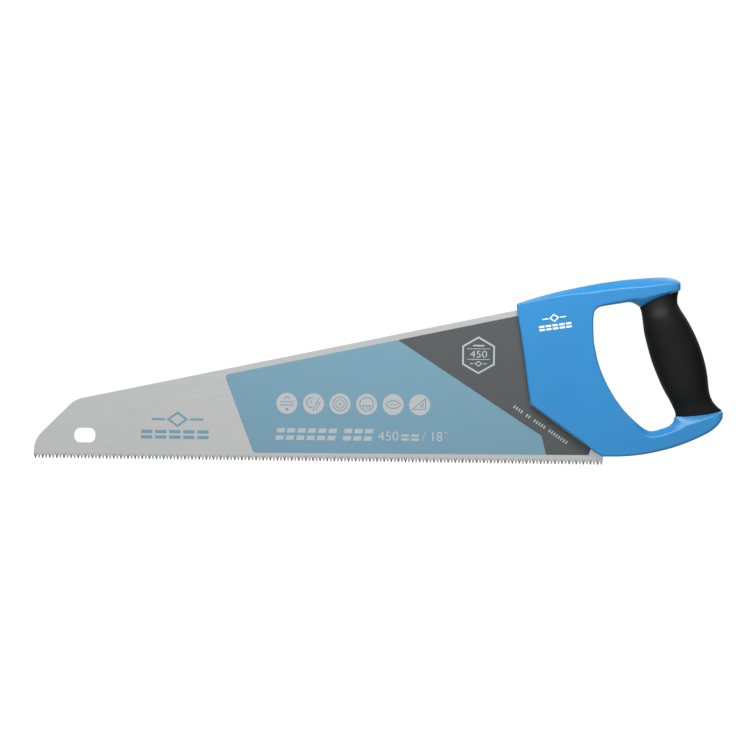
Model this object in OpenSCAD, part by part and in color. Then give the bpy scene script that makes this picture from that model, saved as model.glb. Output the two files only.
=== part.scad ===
// Hand saw: a stamped steel blade with a hardened cross-cut edge in a two-part moulded handle.
// X runs along the tooth line from the toe to the handle, Y is across the blade, Z is up.
// The tooth tips lie on Z = 0, and X = 0 is midway between the toe and the rear of the handle.

/* [Blade] */
// Thickness of the steel
blade_t = 0.9; // [0.8:0.05:1.1]
// Angle of the back of the blade above the tooth line
spine_angle = 12.1; // [11.8:0.05:12.3]
// Radius of the toe's upper corner
toe_upper_r = 22; // [10:1:24]
// Radius of the toe's nose
toe_nose_r = 20; // [10:1:21]
// Length of the hang slot
slot_l = 16.6; // [14:0.1:20]
// Height of the hang slot
slot_h = 11.4; // [10:0.1:14]
// Corner radius of the hang slot
slot_r = 4.9; // [3:0.1:5]

/* [Teeth] */
// Number of teeth along the edge
tooth_count = 160; // [150:2:170]
// Depth of a tooth from tip to gullet
tooth_h = 4.6; // [4:0.1:4.8]
// How far the bevel of a tooth shifts its sides from one face of the steel to the other
tooth_bevel = 0.87; // [0.6:0.01:0.95]
// Width of a tooth's tip on its outer face
tooth_land = 0.6; // [0.3:0.05:0.7]

/* [Handle] */
// Half thickness of the handle at its front edge
front_half = 6; // [5.6:0.1:7]
// Half thickness of the handle at its rear nose
rear_half = 15; // [13:0.1:16]
// Width of the core bar inside the grip, along the saw
core_w = 18; // [15:0.5:19]
// Thickness of the core bar, across the saw
core_t = 12; // [9:0.5:13]
// Corner radius of the core bar
core_r = 4; // [2:0.5:4.5]

/* [Screws] */
// Radius of a screw head
head_r = 4.2; // [3.6:0.1:4.4]
// Height of a screw head
head_h = 2.6; // [2:0.1:3]
// Radius of a screw shank
shank_r = 1.9; // [1.5:0.1:2.2]
// Radius of the well that a screw head sits in
well_r = 4.6; // [4.5:0.1:5]
// Radius of the clearance hole in the tang
tang_hole_r = 2.6; // [2.4:0.1:3]

/* [Print] */
// Thickness of the printed ink layer
ink_t = 0.05; // [0.03:0.01:0.08]
// Distance of the printed panels from the back of the blade
print_margin = 4.5; // [3:0.1:6]
// Radius of the round windows in the printed panel
window_r = 8.3; // [6:0.1:9]
// Distance between the windows
window_pitch = 21; // [19:0.1:23]

/* [Hidden] */
$fn = 48;

// The toothed edge
toe_x = -272.3;
heel_x = 177.7;
pitch = (heel_x - toe_x) / tooth_count;
file_angle = atan(tooth_bevel / blade_t);

// The back of the blade, a straight line, and the toe
spine_start = [-220.1, 51.1];
function spine_z(x) = spine_start[1] + (x - spine_start[0]) * tan(spine_angle);
toe_corner = [-240.2, spine_z(-240.2)];
toe_nose = [toe_x, toe_corner[1] - (toe_corner[0] - toe_x)];
slot_centre = [-232.1, 18.6];

// The tang, inside the handle
tang = [[150, spine_z(150)], [157, 122], [158.5, 90], [166, 66], [heel_x, 42]];

// The front edge of the handle: upper corner, middle corner and heel corner
front_top = [107.9, 126.2];
front_mid = [119.8, 47.3];
front_low = [176.6, 6.6];
nose_x = 271.8;

// The screws: places in the side view, the seat of the head and the end of the shank
screw_at = [[129, 106], [140, 66], [161, 36]];
seat_y = 3.4;
shank_end_y = -5.2;
recess_r = 1.7;
recess_depth = 1.6;

// The core bar's two ends, inside the horns
core_top = [216.5, 139];
core_low = [254.7, 33];

// The seams between the handle and the grip, as the three points of a parabola
upper_seam = [[205, 124.6], [217.2, 133.6], [242, 140]];
lower_seam = [[234.2, 38.9], [253, 38.4], [275, 44.8]];

// The printed panels
blue_top_x = 14.5;
blue_bend = [128.9, 22.3];
blue_low_x = 132.6;
print_front = [-122.3, -98.7];
print_low_z = [6.3, 7.6];
print_r = 3;
grey_low_x = 166.2;
handle_gap = 0.15;
window_first = [-72.7, 45.7];
window_count = 6;

function unit(v) = v / norm(v);
function between(a, b, share) = a + (b - a) * share;
function parabola(p, steps = 12) = [for (i = [0 : steps]) let (s = i / steps)
    between(between(p[0], p[1], s), between(p[1], p[2], s), s)];

// Points along the arc that rounds the corner at b between a and c
function rounded(a, b, c, r, steps = 8) =
    let (
        u = unit(a - b),
        v = unit(c - b),
        half = acos(u * v) / 2,
        centre = b + unit(u + v) * r / sin(half),
        start = b + u * r / tan(half) - centre,
        end = b + v * r / tan(half) - centre
    )
    [for (i = [0 : steps]) centre + r * unit(between(start, end, i / steps))];

// A flat shape in the side view, y0 to y0 + t across the saw
module slab(y0, t) {
    translate([0, y0 + t, 0])
        rotate([90, 0, 0])
            linear_extrude(t)
                children();
}

module rounded_box(w, h, r) {
    square([w - 2 * r, h], center = true);
    square([w, h - 2 * r], center = true);
    for (sx = [-1, 1], sz = [-1, 1])
        translate([sx * (w / 2 - r), sz * (h / 2 - r)])
            circle(r);
}

// ---- Lofted bodies ----
// A rib crosses a limb of the handle in the side view, from its outer edge to its inner edge.
// Each edge is [width along the rib, share of the half thickness, fullness]: fullness 0 is a flat
// bevel and 1 a quarter round. The last value is the thickness factor.
function rib(outer, inner, outer_edge, inner_edge, thick = 1) =
    concat(outer, inner, outer_edge, inner_edge, [thick]);

function rib_gap(p, q) = norm([for (i = [0 : 3]) q[i] - p[i]]);
function rib_slope(p, q) = (q - p) / rib_gap(p, q);

// The slope of the ribs' values at rib k, weighted towards its nearer neighbour
function rib_tangent(ribs, k) =
    k == 0 ? rib_slope(ribs[0], ribs[1]) :
    k == len(ribs) - 1 ? rib_slope(ribs[k - 1], ribs[k]) :
    let (a = rib_gap(ribs[k - 1], ribs[k]), b = rib_gap(ribs[k], ribs[k + 1]))
    (b * rib_slope(ribs[k - 1], ribs[k]) + a * rib_slope(ribs[k], ribs[k + 1])) / (a + b);

// The rib at share s of the way from rib k to the next, on a smooth cubic
function rib_between(ribs, k, s) =
    let (gap = rib_gap(ribs[k], ribs[k + 1]))
    ribs[k] * (2 * s * s * s - 3 * s * s + 1) + ribs[k + 1] * (3 * s * s - 2 * s * s * s)
    + rib_tangent(ribs, k) * gap * (s * s * s - 2 * s * s + s)
    + rib_tangent(ribs, k + 1) * gap * (s * s * s - s * s);

function fine_ribs(ribs, steps) = concat(
    [for (k = [0 : len(ribs) - 2], i = [0 : steps - 1]) rib_between(ribs, k, i / steps)],
    [ribs[len(ribs) - 1]]);

// The flanks of the handle are flat and widen towards the rear
function flank_half(x) =
    front_half + (rear_half - front_half) * (x - front_top[0]) / (nose_x - front_top[0]);

// One point of an edge: how far in from the edge, and how far out from the middle plane
function edge_in(edge, a) = edge[0] * (edge[2] * (1 - cos(a)) + (1 - edge[2]) * a / 90);
function edge_out(edge, a) = 1 - edge[1] + edge[1] * (edge[2] * sin(a) + (1 - edge[2]) * a / 90);

// The loop of points round one rib
function section(r, wedge, steps) =
    let (
        outer = [r[0], r[1]],
        inner = [r[2], r[3]],
        along = unit(inner - outer),
        oe = [r[4], r[5], r[6]],
        ie = [r[7], r[8], r[9]],
        angles = [for (i = [0 : steps]) 90 * i / steps],
        marks = concat(
            [for (a = angles) concat(outer + along * edge_in(oe, a), [edge_out(oe, a)])],
            [for (i = [steps : -1 : 0]) concat(inner - along * edge_in(ie, angles[i]), [edge_out(ie, angles[i])])]),
        side = [for (m = marks) [m[0], m[2] * r[10] * (wedge ? flank_half(m[0]) : 1), m[1]]]
    )
    concat(
        [for (p = side) [p[0], -p[1], p[2]]],
        [for (i = [len(side) - 1 : -1 : 0]) side[i]]);

module loft(ribs, wedge, rib_steps, edge_steps) {
    fine = fine_ribs(ribs, rib_steps);
    loop = 4 * (edge_steps + 1);
    last = len(fine) - 1;
    points = [for (r = fine) each section(r, wedge, edge_steps)];
    sides = [for (k = [0 : last - 1], i = [0 : loop - 1]) let (j = (i + 1) % loop)
        [k * loop + i, k * loop + j, (k + 1) * loop + j, (k + 1) * loop + i]];
    start = [[for (i = [loop - 1 : -1 : 0]) i]];
    end = [[for (i = [0 : loop - 1]) last * loop + i]];
    polyhedron(points, concat(start, sides, end), convexity = 8);
}

// Edges of the handle
function crown(w) = [w, 0.9, 0.2];
front_round = [1.6, 0.25, 1];
hole_round = [1.6, 0.24, 1];
base_round = [2.2, 0.2, 1];

function on_front(share) = between(front_top, front_mid, share);
function on_chin(share) = between(front_mid, front_low, share);

handle_ribs = [
    // Upper horn, from its rounded rear end forwards
    rib([237.0, 144.2], [237.0, 138.9], [1.2, 0.6, 1], [1.0, 0.4, 1], 0.5),
    rib([236.5, 145.6], [236.4, 138.5], [2.4, 0.7, 0.8], [1.0, 0.35, 0.9], 0.72),
    rib([234.2, 147.1], [234.0, 137.8], [3.6, 0.8, 0.5], [1.1, 0.3, 0.7], 0.88),
    rib([230.0, 148.4], [230.0, 136.6], [4.6, 0.88, 0.3], [1.4, 0.28, 0.5], 0.96),
    rib([224.0, 148.9], [224.0, 134.3], crown(5.5), [2.2, 0.28, 0.4]),
    rib([215.0, 148.5], [214.5, 129.9], crown(6.4), [4.4, 0.35, 0.35]),
    rib([208.5, 148.0], [206.8, 124.7], crown(6.9), [7.7, 0.7, 0.35]),
    rib([203.0, 147.5], [202.0, 127.4], crown(7.0), [4.8, 0.55, 0.4]),
    rib([197.7, 147.0], [197.9, 128.8], crown(6.8), [2.9, 0.4, 0.7]),
    rib([189.8, 146.1], [190.0, 127.8], crown(6.6), [2.6, 0.35, 1]),
    rib([181.0, 144.8], [181.5, 126.4], crown(6.5), [2.3, 0.3, 1]),
    rib([171.0, 143.1], [174.3, 125.0], crown(6.3), [1.8, 0.26, 1]),
    rib([158.2, 140.5], [170.2, 122.4], crown(6.0), hole_round),
    rib([142.5, 137.0], [168.8, 118.6], crown(5.4), hole_round),
    rib([126.5, 132.6], [168.5, 113.5], crown(4.4), hole_round),
    rib([112.9, 128.3], [168.5, 108.0], [2.6, 0.8, 0.4], hole_round),
    // Front panel: the front edge, the chin and the three corners
    rib([109.3, 126.9], [168.7, 104.4], [2.0, 0.6, 0.7], hole_round),
    rib([108.1, 125.8], [168.8, 102.4], [1.8, 0.4, 0.9], hole_round),
    rib(on_front(0.028), [168.9, 100.4], front_round, hole_round),
    rib(on_front(0.3), [170.2, 91.8], front_round, hole_round),
    rib(on_front(0.64), [174.2, 76.5], front_round, hole_round),
    rib(on_front(0.977), [184.6, 55.5], front_round, hole_round),
    rib([120.0, 47.2], [186.3, 52.8], front_round, hole_round),
    rib(on_chin(0.03), [187.7, 50.9], front_round, hole_round),
    rib(on_chin(0.35), [191.7, 45.6], front_round, hole_round),
    rib(on_chin(0.68), [196.3, 40.5], front_round, hole_round),
    rib(on_chin(0.973), [201.5, 35.6], front_round, [2.0, 0.26, 1]),
    rib([177.2, 6.7], [203.2, 34.1], [2.0, 0.24, 1], [2.2, 0.3, 1]),
    rib([179.8, 6.7], [204.8, 32.8], base_round, [2.6, 0.34, 0.7]),
    // Lower horn, ending in its rounded nose
    rib([191.5, 6.9], [208.4, 30.1], base_round, [3.6, 0.4, 0.4]),
    rib([201.5, 7.7], [211.4, 28.2], base_round, [4.4, 0.45, 0.2]),
    rib([211.0, 9.1], [215.2, 27.3], base_round, [4.8, 0.5, 0.15]),
    rib([221.5, 11.4], [219.6, 27.9], base_round, [4.9, 0.5, 0.15]),
    rib([231.5, 14.1], [225.0, 29.6], base_round, [5.1, 0.5, 0.15]),
    rib([240.0, 17.1], [229.8, 31.6], base_round, [5.4, 0.48, 0.15]),
    rib([247.5, 20.2], [233.2, 35.0], base_round, [7.6, 0.44, 0.15]),
    rib([253.5, 23.0], [234.6, 39.2], base_round, [11.4, 0.4, 0.15]),
    rib([258.5, 25.6], [243.0, 39.7], base_round, [8.4, 0.38, 0.15]),
    rib([262.8, 28.3], [251.0, 40.4], base_round, [5.6, 0.38, 0.2]),
    rib([266.6, 31.6], [258.0, 41.5], [2.2, 0.24, 1], [4.0, 0.38, 0.3], 0.98),
    rib([269.6, 35.2], [264.4, 42.7], [2.0, 0.3, 1], [2.9, 0.4, 0.4], 0.9),
    rib([271.4, 38.9], [268.6, 43.7], [1.6, 0.36, 1], [2.1, 0.44, 0.6], 0.74),
    rib([nose_x, 41.4], [270.7, 44.2], [0.9, 0.5, 1], [1.2, 0.5, 0.8], 0.52)
];

// A rib of the grip is an oval: rear edge, finger edge and half thickness
function grip_rib(rear, finger, half) =
    let (w = norm(rear - finger) / 2 - 0.4)
    rib(rear, finger, [w, 0.96, 1], [w, 0.96, 1], half);

grip_ribs = [
    grip_rib([237.4, 144.5], [202.6, 130.0], 9.6),
    grip_rib([236.3, 139.2], [204.4, 126.0], 9.5),
    grip_rib([235.1, 133.6], [206.0, 122.8], 9.9),
    grip_rib([235.1, 129.2], [206.9, 119.0], 10.8),
    grip_rib([237.3, 124.2], [207.8, 112.6], 13.0),
    grip_rib([241.9, 117.3], [208.9, 105.0], 14.2),
    grip_rib([246.9, 108.6], [210.8, 97.2], 14.45),
    grip_rib([251.4, 99.2], [213.0, 89.3], 14.62),
    grip_rib([255.0, 89.8], [215.5, 81.4], 14.78),
    grip_rib([257.8, 80.0], [218.6, 73.6], 14.9),
    grip_rib([259.6, 70.6], [222.0, 65.7], 14.9),
    grip_rib([260.6, 61.6], [226.0, 57.8], 14.2),
    grip_rib([262.0, 55.4], [229.4, 52.1], 12.6),
    grip_rib([264.7, 50.3], [232.2, 46.6], 10.2),
    grip_rib([268.1, 46.8], [234.3, 41.7], 9.2),
    grip_rib([270.6, 44.7], [234.6, 37.5], 8.8),
    grip_rib([271.6, 42.8], [235.0, 33.0], 8.8)
];

// The space between the two seams, which the grip fills
module grip_zone() {
    slab(-30, 60)
        polygon(concat(
            [[196, 118]],
            parabola(upper_seam),
            [[300, 140], [300, 44.8]],
            [for (i = [12 : -1 : 0]) parabola(lower_seam)[i]],
            [[215, 39.5], [196, 60]]));
}

module core_bar() {
    run = core_low - core_top;
    translate([core_top[0], 0, core_top[1]])
        rotate([0, 90 - atan2(run[1], run[0]), 0])
            linear_extrude(norm(run))
                rounded_box(core_w, core_t, core_r);
}

// ---- Blade ----
module blade_outline() {
    polygon(concat(
        [[toe_x, 0]],
        rounded([toe_x, 0], toe_nose, toe_corner, toe_nose_r),
        rounded(toe_nose, toe_corner, spine_start, toe_upper_r),
        tang,
        [[heel_x, 0]]));
}

// The V-shaped gullets between the teeth, filed at an angle that alternates from one to the next
module gullets(first) {
    cut_h = tooth_h + 1;
    tip_gap = pitch + tooth_bevel - tooth_land;
    cut_half = tip_gap / 2 * cos(file_angle) * cut_h / tooth_h;
    for (i = [first : 2 : tooth_count])
        translate([toe_x + i * pitch, 0, 0])
            rotate([0, 0, (i % 2 == 0 ? 1 : -1) * file_angle])
                slab(-2, 4)
                    polygon([[0, tooth_h], [cut_half, tooth_h - cut_h], [-cut_half, tooth_h - cut_h]]);
}

module saw_blade() {
    color([0.74, 0.75, 0.75])
        difference() {
            difference() {
                slab(-blade_t / 2, blade_t)
                    blade_outline();
                slab(-blade_t, 2 * blade_t)
                    translate(slot_centre)
                        rounded_box(slot_l, slot_h, slot_r);
                for (p = screw_at)
                    translate([p[0], blade_t, p[1]])
                        rotate([90, 0, 0])
                            cylinder(r = tang_hole_r, h = 2 * blade_t);
                gullets(0);
            }
            gullets(1);
        }
}

// ---- Handle ----
module screw_cut(p) {
    translate([p[0], seat_y, p[1]])
        rotate([-90, 0, 0])
            cylinder(r = well_r, h = rear_half);
    translate([p[0], shank_end_y, p[1]])
        rotate([-90, 0, 0])
            cylinder(r = shank_r, h = seat_y - shank_end_y);
}

module handle() {
    color([0.27, 0.58, 0.83])
        difference() {
            union() {
                difference() {
                    loft(handle_ribs, true, 2, 4);
                    grip_zone();
                }
                core_bar();
            }
            slab(-blade_t / 2, blade_t)
                blade_outline();
            for (p = screw_at)
                screw_cut(p);
        }
}

module grip_sleeve() {
    color([0.11, 0.11, 0.12])
        difference() {
            intersection() {
                loft(grip_ribs, false, 2, 6);
                grip_zone();
            }
            core_bar();
        }
}

// ---- Screws ----
module screw(p) {
    color([0.62, 0.62, 0.64])
        translate([p[0], 0, p[1]])
            difference() {
                union() {
                    translate([0, shank_end_y, 0])
                        rotate([-90, 0, 0])
                            cylinder(r = shank_r, h = seat_y - shank_end_y + head_h / 4);
                    translate([0, seat_y, 0])
                        rotate([-90, 0, 0])
                            cylinder(r = head_r, h = head_h);
                }
                // Six-lobed drive recess
                translate([0, seat_y + head_h - recess_depth, 0])
                    rotate([-90, 0, 0])
                        for (a = [0 : 60 : 300])
                            rotate([0, 0, a])
                                translate([recess_r - 0.55, 0, 0])
                                    cylinder(r = 0.62, h = recess_depth + 1);
                translate([0, seat_y + head_h - recess_depth, 0])
                    rotate([-90, 0, 0])
                        cylinder(r = recess_r - 0.5, h = recess_depth + 1);
            }
}

// ---- Printed panels ----
function print_top(x) = [x, spine_z(x) - print_margin / cos(spine_angle)];
function print_low(x) =
    [x, between(print_low_z[0], print_low_z[1], (x - print_front[1]) / (grey_low_x - print_front[1]))];

module blue_panel() {
    a = print_top(print_front[0]);
    b = print_low(print_front[1]);
    difference() {
        polygon(concat(
            rounded(b, a, print_top(blue_top_x), print_r),
            [print_top(blue_top_x)],
            rounded(print_top(blue_top_x), blue_bend, print_low(blue_low_x), print_r),
            [print_low(blue_low_x)],
            rounded(print_low(blue_low_x), b, a, print_r)));
        for (i = [0 : window_count - 1])
            translate([window_first[0] + i * window_pitch, window_first[1]])
                circle(window_r);
    }
}

module grey_panel() {
    // Where the panel's top edge meets the front edge of the handle
    front_x = 109.85;
    chin_x = 168;
    chin_z = front_low[1] + (front_low[0] - chin_x) * (front_mid[1] - front_low[1]) / (front_low[0] - front_mid[0]);
    polygon(concat(
        [print_top(blue_top_x),
            print_top(front_x) - [handle_gap, 0],
            front_mid - [handle_gap, handle_gap],
            [chin_x, chin_z] - [handle_gap, handle_gap],
            print_low(grey_low_x),
            print_low(blue_low_x)],
        [for (i = [8 : -1 : 0]) rounded(print_top(blue_top_x), blue_bend, print_low(blue_low_x), print_r)[i]]));
}

module ink(side) {
    slab(side < 0 ? -blade_t / 2 - ink_t : blade_t / 2, ink_t)
        children();
}

module print_blue(side) {
    color([0.48, 0.63, 0.69])
        ink(side)
            blue_panel();
}

module print_grey(side) {
    color([0.36, 0.36, 0.36])
        ink(side)
            grey_panel();
}

saw_blade();
handle();
grip_sleeve();
screw(screw_at[0]);  // screw_upper
screw(screw_at[1]);  // screw_middle
screw(screw_at[2]);  // screw_lower
print_blue(-1);  // print_blue_left
print_grey(-1);  // print_grey_left
print_blue(1);  // print_blue_right
print_grey(1);  // print_grey_right
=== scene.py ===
import math

import bmesh
import bpy
from bpy.props import FloatProperty, FloatVectorProperty, PointerProperty
from mathutils import Matrix, Vector


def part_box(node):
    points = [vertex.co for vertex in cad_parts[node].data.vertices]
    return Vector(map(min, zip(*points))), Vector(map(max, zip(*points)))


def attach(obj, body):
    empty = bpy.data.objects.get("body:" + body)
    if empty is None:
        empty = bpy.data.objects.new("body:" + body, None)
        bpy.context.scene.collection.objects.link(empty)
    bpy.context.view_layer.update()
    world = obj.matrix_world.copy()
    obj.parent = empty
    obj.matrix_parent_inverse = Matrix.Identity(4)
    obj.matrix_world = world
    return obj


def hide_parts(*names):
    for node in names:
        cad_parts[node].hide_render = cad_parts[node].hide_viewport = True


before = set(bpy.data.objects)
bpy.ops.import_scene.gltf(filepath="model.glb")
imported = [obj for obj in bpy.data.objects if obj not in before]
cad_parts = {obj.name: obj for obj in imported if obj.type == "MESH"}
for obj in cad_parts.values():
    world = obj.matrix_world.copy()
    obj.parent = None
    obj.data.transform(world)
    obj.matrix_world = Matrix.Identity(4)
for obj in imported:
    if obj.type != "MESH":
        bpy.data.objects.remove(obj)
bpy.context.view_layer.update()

bl_info = {
    "name": "Hand saw",
    "version": (1, 0, 0),
    "blender": (4, 5, 0),
    "location": "3D View > Sidebar > Hand Saw",
    "description": "Models and finishes a hand saw round its packed frame",
    "category": "Object",
}

MM = 0.001
LEFT, RIGHT = -1, 1
SIDE_NAMES = {LEFT: "left", RIGHT: "right"}

# The side view, in millimetres: X along the teeth, Z up. The blade's own box gives its half
# thickness, the blue print's box the face of the ink, and the handle's box gives the rear nose.
BLADE_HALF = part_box("saw_blade")[1].y / MM
INK_FACE = -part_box("print_blue_left")[0].y / MM
NOSE_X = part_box("handle")[1].x / MM
FRONT_TOP = Vector((107.9, 126.2))
FRONT_MID = Vector((119.8, 47.3))
FRONT_LOW = Vector((176.6, 6.6))
UPPER_SEAM = ((205, 124.6), (217.2, 133.6), (242, 140))
LOWER_SEAM = ((234.2, 38.9), (253, 38.4), (275, 44.8))
CORE_TOP = Vector((216.5, 139))
CORE_LOW = Vector((254.7, 33))
CORE_SIZE = (18, 12)
CORE_ROUND = 4
# The blade's outline inside the handle, and the three screws
TANG = ((60, 0), (60, 111.15), (150, 130.44), (157, 122), (158.5, 90), (166, 66), (177.7, 42), (177.7, 0))
SCREW_SPOTS = ((129, 106), (140, 66), (161, 36))
WELL_RADIUS = 4.6
WELL_SEAT = 3.4
SHANK_RADIUS = 1.9
SHANK_END = -5.2
WINDOW_FIRST = Vector((-72.7, 45.7))
WINDOW_PITCH = 21
WINDOW_COUNT = 6
TICKS_MIDDLE = Vector((128.2, 31.05))
TICKS_LEAN = -33.8
TICK_GROUPS = (4, 2, 5, 8)
TICK_PITCH = 2.3
TICKS_LENGTH = 50.5
VIEW_CENTRE = Vector((-3.35, 68.9))
SHARP_ANGLE = math.radians(32)
RIB_STEPS = 4
WELL_CLEARANCE = 5


class HandSawSizes(bpy.types.PropertyGroup):
    """Sizes of the finished surfaces."""

    front_half: FloatProperty(
        name="Front half thickness",
        description="Half thickness of the handle where the blade leaves it",
        default=0.006, min=0.005, max=0.008, unit="LENGTH")
    rear_half: FloatProperty(
        name="Rear half thickness",
        description="Half thickness of the handle at its rear nose",
        default=0.015, min=0.012, max=0.016, unit="LENGTH")
    crease: FloatProperty(
        name="Crease rounding",
        description="How far the rounding of a crease reaches to each side",
        default=0.0011, min=0.0003, max=0.002, unit="LENGTH")
    seam_gap: FloatProperty(
        name="Seam gap",
        description="Width of the fine joint between the handle and the grip",
        default=0.00003, min=0.0, max=0.0005, unit="LENGTH")
    ink: FloatProperty(
        name="Ink thickness",
        description="Thickness of a printed mark",
        default=0.00004, min=0.00002, max=0.0001, unit="LENGTH")
    view_width: FloatProperty(
        name="View width",
        description="Width that the camera takes in at the blade",
        default=0.5929, min=0.3, max=2.0, unit="LENGTH")
    lens: FloatProperty(
        name="Lens",
        description="Focal length of the camera in millimetres",
        default=250.0, min=50.0, max=400.0)
    view_roll: FloatProperty(
        name="Camera roll",
        description="How far the camera leans, so that the tooth line falls to the right",
        default=math.radians(0.7), min=-0.1, max=0.1, subtype="ANGLE")


def colour_property(name, description, default):
    return FloatVectorProperty(
        name=name, description=description, default=default,
        size=3, min=0.0, max=1.0, subtype="COLOR")


class HandSawColours(bpy.types.PropertyGroup):
    """Colours of the finishes."""

    steel: colour_property("Steel", "Brushed and lacquered blade steel", (0.8, 0.805, 0.805))
    hard_steel: colour_property("Hardened steel", "Tooth tips", (0.52, 0.525, 0.53))
    blue_ink: colour_property("Blue ink", "Main printed panel and marks", (0.146, 0.292, 0.385))
    grey_ink: colour_property("Grey ink", "Panel beside the handle", (0.066, 0.073, 0.072))
    pale_ink: colour_property("Pale ink", "Marks on the printed panels", (0.4, 0.45, 0.46))
    white_ink: colour_property("White ink", "Marks on the handle", (0.85, 0.88, 0.9))
    handle: colour_property("Handle", "Blue polypropylene", (0.02, 0.226, 0.53))
    grip: colour_property("Grip", "Black soft rubber", (0.008, 0.008, 0.0085))
    screw: colour_property("Screws", "Zinc plated steel", (0.5, 0.5, 0.53))


# ---- Materials ----

def link(tree, source, target):
    tree.links.new(source, target)


def new_material(name):
    """A material with its Principled shader, as (material, node tree, shader)."""
    material = bpy.data.materials.new(name)
    material.use_nodes = True
    tree = material.node_tree
    return material, tree, tree.nodes["Principled BSDF"]


def object_vector(tree, scale=(1, 1, 1)):
    coordinates = tree.nodes.new("ShaderNodeTexCoord")
    mapping = tree.nodes.new("ShaderNodeMapping")
    mapping.inputs["Scale"].default_value = scale
    link(tree, coordinates.outputs["Object"], mapping.inputs["Vector"])
    return mapping.outputs["Vector"]


def noise(tree, scale, detail=2.0, stretch=(1, 1, 1)):
    """A noise pattern on the object's own coordinates, from 0 to 1."""
    texture = tree.nodes.new("ShaderNodeTexNoise")
    texture.inputs["Scale"].default_value = scale
    texture.inputs["Detail"].default_value = detail
    link(tree, object_vector(tree, stretch), texture.inputs["Vector"])
    return texture.outputs["Fac"]


def height(tree, axis):
    """The distance along one axis of the object, in metres."""
    split = tree.nodes.new("ShaderNodeSeparateXYZ")
    link(tree, object_vector(tree), split.inputs["Vector"])
    return split.outputs[axis]


def remap(tree, source, source_range, target_range, smooth=False):
    node = tree.nodes.new("ShaderNodeMapRange")
    if smooth:
        node.interpolation_type = "SMOOTHSTEP"
    node.inputs["From Min"].default_value = source_range[0]
    node.inputs["From Max"].default_value = source_range[1]
    node.inputs["To Min"].default_value = target_range[0]
    node.inputs["To Max"].default_value = target_range[1]
    link(tree, source, node.inputs["Value"])
    return node.outputs["Result"]


def combine(tree, operation, first, second):
    node = tree.nodes.new("ShaderNodeMath")
    node.operation = operation
    for socket, value in zip(node.inputs, (first, second)):
        if isinstance(value, (int, float)):
            socket.default_value = value
        else:
            link(tree, value, socket)
    return node.outputs["Value"]


def blend_colours(tree, share, first, second):
    """first where share is 0 and second where it is 1; each is a colour or a socket."""
    node = tree.nodes.new("ShaderNodeMix")
    node.data_type = "RGBA"
    link(tree, share, node.inputs["Factor"])
    for socket, value in ((node.inputs[6], first), (node.inputs[7], second)):
        if isinstance(value, bpy.types.NodeSocket):
            link(tree, value, socket)
        else:
            socket.default_value = (*value, 1.0)
    return node.outputs[2]


def bump(tree, shader, source, strength, distance):
    node = tree.nodes.new("ShaderNodeBump")
    node.inputs["Strength"].default_value = strength
    node.inputs["Distance"].default_value = distance
    link(tree, source, node.inputs["Height"])
    link(tree, node.outputs["Normal"], shader.inputs["Normal"])
    link(tree, node.outputs["Normal"], shader.inputs["Coat Normal"])


def shade(colour, factor):
    return tuple(min(channel * factor, 1.0) for channel in colour)


def steel_material(colours):
    """Fine brushed steel under a thin lacquer, darker where the teeth are hardened."""
    material, tree, shader = new_material("blade_steel")
    streaks = noise(tree, 60, 3.0, (1, 12, 90))
    clouds = noise(tree, 7, 2.0)
    base = blend_colours(tree, remap(tree, streaks, (0.3, 0.7), (0, 1)),
                         shade(colours.steel, 0.94), shade(colours.steel, 1.05))
    base = blend_colours(tree, remap(tree, clouds, (0.3, 0.7), (0, 0.35)),
                         base, shade(colours.steel, 0.92))
    # The heat of hardening leaves the teeth dark up to just above the gullets
    hard = remap(tree, height(tree, "Z"), (0.0012, 0.0042), (1, 0), smooth=True)
    link(tree, blend_colours(tree, hard, base, tuple(colours.hard_steel)), shader.inputs["Base Color"])
    link(tree, remap(tree, streaks, (0.25, 0.75), (0.34, 0.44)), shader.inputs["Roughness"])
    bump(tree, shader, streaks, 0.12, 0.00002)
    shader.inputs["Metallic"].default_value = 1.0
    shader.inputs["Anisotropic"].default_value = 0.35
    shader.inputs["Coat Weight"].default_value = 0.22
    shader.inputs["Coat Roughness"].default_value = 0.22
    return material


def ink_material(name, colour, gloss=0.4):
    """Screen-printed ink under lacquer: nearly even, with the brushed steel's lines showing faintly."""
    material, tree, shader = new_material(name)
    streaks = noise(tree, 60, 3.0, (1, 12, 90))
    mottle = noise(tree, 420, 2.0)
    base = blend_colours(tree, remap(tree, streaks, (0.3, 0.7), (0, 1)),
                         shade(colour, 0.965), shade(colour, 1.03))
    base = blend_colours(tree, remap(tree, mottle, (0.35, 0.7), (0, 0.3)), base, shade(colour, 0.93))
    link(tree, base, shader.inputs["Base Color"])
    link(tree, remap(tree, mottle, (0.3, 0.7), (gloss - 0.04, gloss + 0.05)), shader.inputs["Roughness"])
    bump(tree, shader, streaks, 0.1, 0.00002)
    shader.inputs["Coat Weight"].default_value = 0.3
    shader.inputs["Coat Roughness"].default_value = 0.2
    return material


def plastic_material(colours):
    """Semi-gloss polypropylene with a fine spark-eroded grain and a faint mould parting line."""
    material, tree, shader = new_material("blue_plastic")
    grain = noise(tree, 2600, 2.0)
    flow = noise(tree, 9, 3.0)
    base = blend_colours(tree, remap(tree, flow, (0.3, 0.7), (0, 1)),
                         shade(colours.handle, 0.96), shade(colours.handle, 1.04))
    link(tree, base, shader.inputs["Base Color"])
    link(tree, remap(tree, grain, (0.3, 0.7), (0.33, 0.42)), shader.inputs["Roughness"])
    across = combine(tree, "ABSOLUTE", height(tree, "Y"), 0)
    parting = remap(tree, across, (0.00006, 0.00018), (1, 0), smooth=True)
    relief = combine(tree, "ADD", combine(tree, "MULTIPLY", grain, 0.35), parting)
    bump(tree, shader, relief, 0.28, 0.00004)
    shader.inputs["IOR"].default_value = 1.49
    return material


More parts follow.
